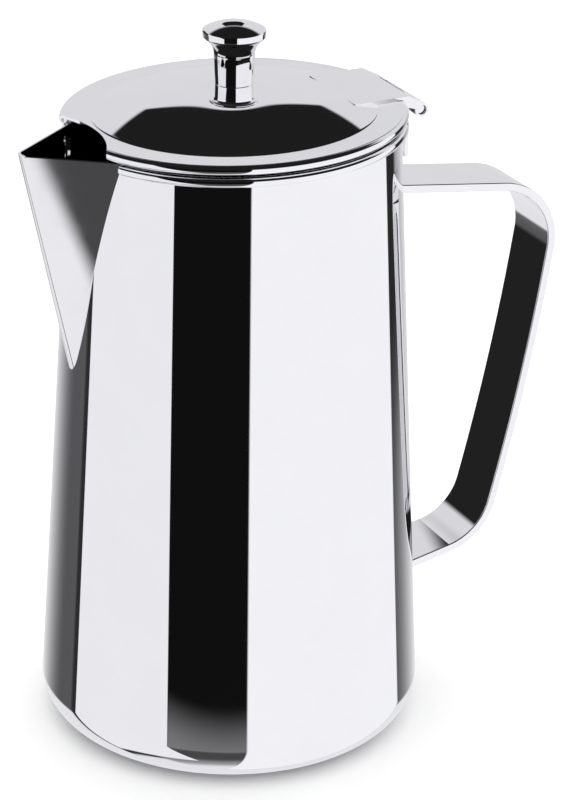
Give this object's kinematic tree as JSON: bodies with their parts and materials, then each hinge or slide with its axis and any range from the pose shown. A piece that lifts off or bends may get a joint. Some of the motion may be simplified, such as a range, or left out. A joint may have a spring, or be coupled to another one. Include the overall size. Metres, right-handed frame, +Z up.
{
  "type": "coffee pot",
  "caption": "Polished steel coffee pot with a tapered body, folded pouring spout, flat strap handle and a hinged lid with a turned knob.",
  "frame": {"origin": "centre of the standing plane under the base, on the axis of the tapered body", "axes": "+Z up along the body's axis, +X towards the handle and hinge, -X towards the spout, +Y along the hinge pin"},
  "size_m": [0.1813, 0.1236, 0.2327],
  "materials": {
    "polished_steel": "mirror-polished stainless steel sheet",
    "turned_steel": "turned and polished stainless steel",
    "weld_steel": "ground and polished weld metal",
    "plain_steel": "plain stainless steel fastener"
  },
  "bodies": {
    "pot": {"pot_body": "polished_steel", "spout": "polished_steel", "handle_strap": "polished_steel", "handle_fillet_top": "weld_steel", "handle_fillet_low": "weld_steel", "hinge_bracket": "polished_steel", "hinge_pin": "turned_steel"},
    "lid": {"lid_shell": "polished_steel", "lid_hinge_leaf": "polished_steel", "knob_collar": "turned_steel", "knob_grip": "turned_steel", "knob_screw": "plain_steel", "knob_washer": "plain_steel"}
  },
  "joints": [
    {"name": "lid_hinge", "type": "hinge", "parent": "pot", "child": "lid", "pos_m": [0.0562, 0, 0.2025], "axis": [0, 1, 0], "range_deg": [0, 105]}
  ]
}
